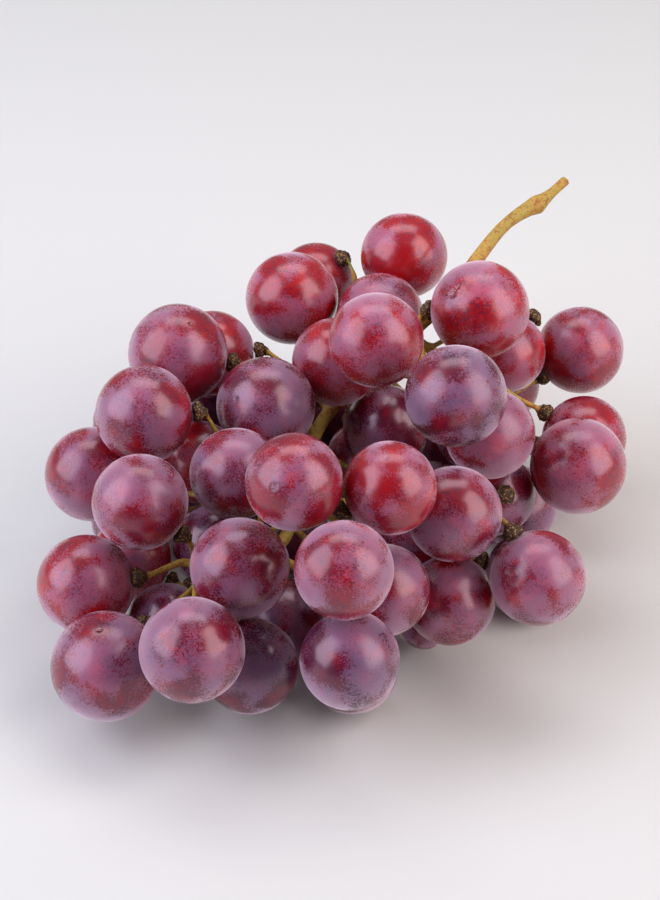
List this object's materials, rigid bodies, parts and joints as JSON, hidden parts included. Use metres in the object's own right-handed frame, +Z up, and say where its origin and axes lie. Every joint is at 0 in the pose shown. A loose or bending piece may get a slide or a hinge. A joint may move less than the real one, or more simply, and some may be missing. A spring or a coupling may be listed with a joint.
{
  "type": "bunch of grapes",
  "caption": "Loose bunch of large round red table grapes on a branched woody stem with a cut stalk, lying on its side.",
  "frame": {"origin": "on the surface that the bunch lies on, under the middle of its bounding box", "axes": "+Z up from the surface, +Y from the bunch's tip towards its cut stalk, +X across the bunch to the right of the picture"},
  "size_m": [0.1598, 0.1834, 0.082],
  "materials": {
    "stem": "dry woody stalk, tan to green, rough",
    "grape_skin": "translucent red-purple fruit skin under a patchy matt waxy bloom"
  },
  "bodies": {
    "root": {"stem": "stem", "grape_01": "grape_skin", "grape_02": "grape_skin", "grape_03": "grape_skin", "grape_04": "grape_skin", "grape_05": "grape_skin", "grape_06": "grape_skin", "grape_07": "grape_skin", "grape_08": "grape_skin", "grape_09": "grape_skin", "grape_10": "grape_skin", "grape_11": "grape_skin", "grape_12": "grape_skin", "grape_13": "grape_skin", "grape_14": "grape_skin", "grape_15": "grape_skin", "grape_16": "grape_skin", "grape_17": "grape_skin", "grape_18": "grape_skin", "grape_19": "grape_skin", "grape_20": "grape_skin", "grape_21": "grape_skin", "grape_22": "grape_skin", "grape_23": "grape_skin", "grape_24": "grape_skin", "grape_25": "grape_skin", "grape_26": "grape_skin", "grape_27": "grape_skin", "grape_28": "grape_skin", "grape_29": "grape_skin", "grape_30": "grape_skin", "grape_31": "grape_skin", "grape_32": "grape_skin", "grape_33": "grape_skin", "grape_34": "grape_skin", "grape_35": "grape_skin", "grape_36": "grape_skin", "grape_37": "grape_skin", "grape_38": "grape_skin", "grape_39": "grape_skin", "grape_40": "grape_skin", "grape_41": "grape_skin", "grape_42": "grape_skin", "grape_43": "grape_skin", "grape_44": "grape_skin", "grape_45": "grape_skin", "grape_46": "grape_skin", "grape_47": "grape_skin", "grape_48": "grape_skin", "grape_49": "grape_skin", "grape_50": "grape_skin", "grape_51": "grape_skin", "grape_52": "grape_skin", "grape_53": "grape_skin", "grape_54": "grape_skin", "grape_55": "grape_skin", "grape_56": "grape_skin", "grape_57": "grape_skin", "grape_58": "grape_skin", "grape_59": "grape_skin"}
  },
  "joints": []
}
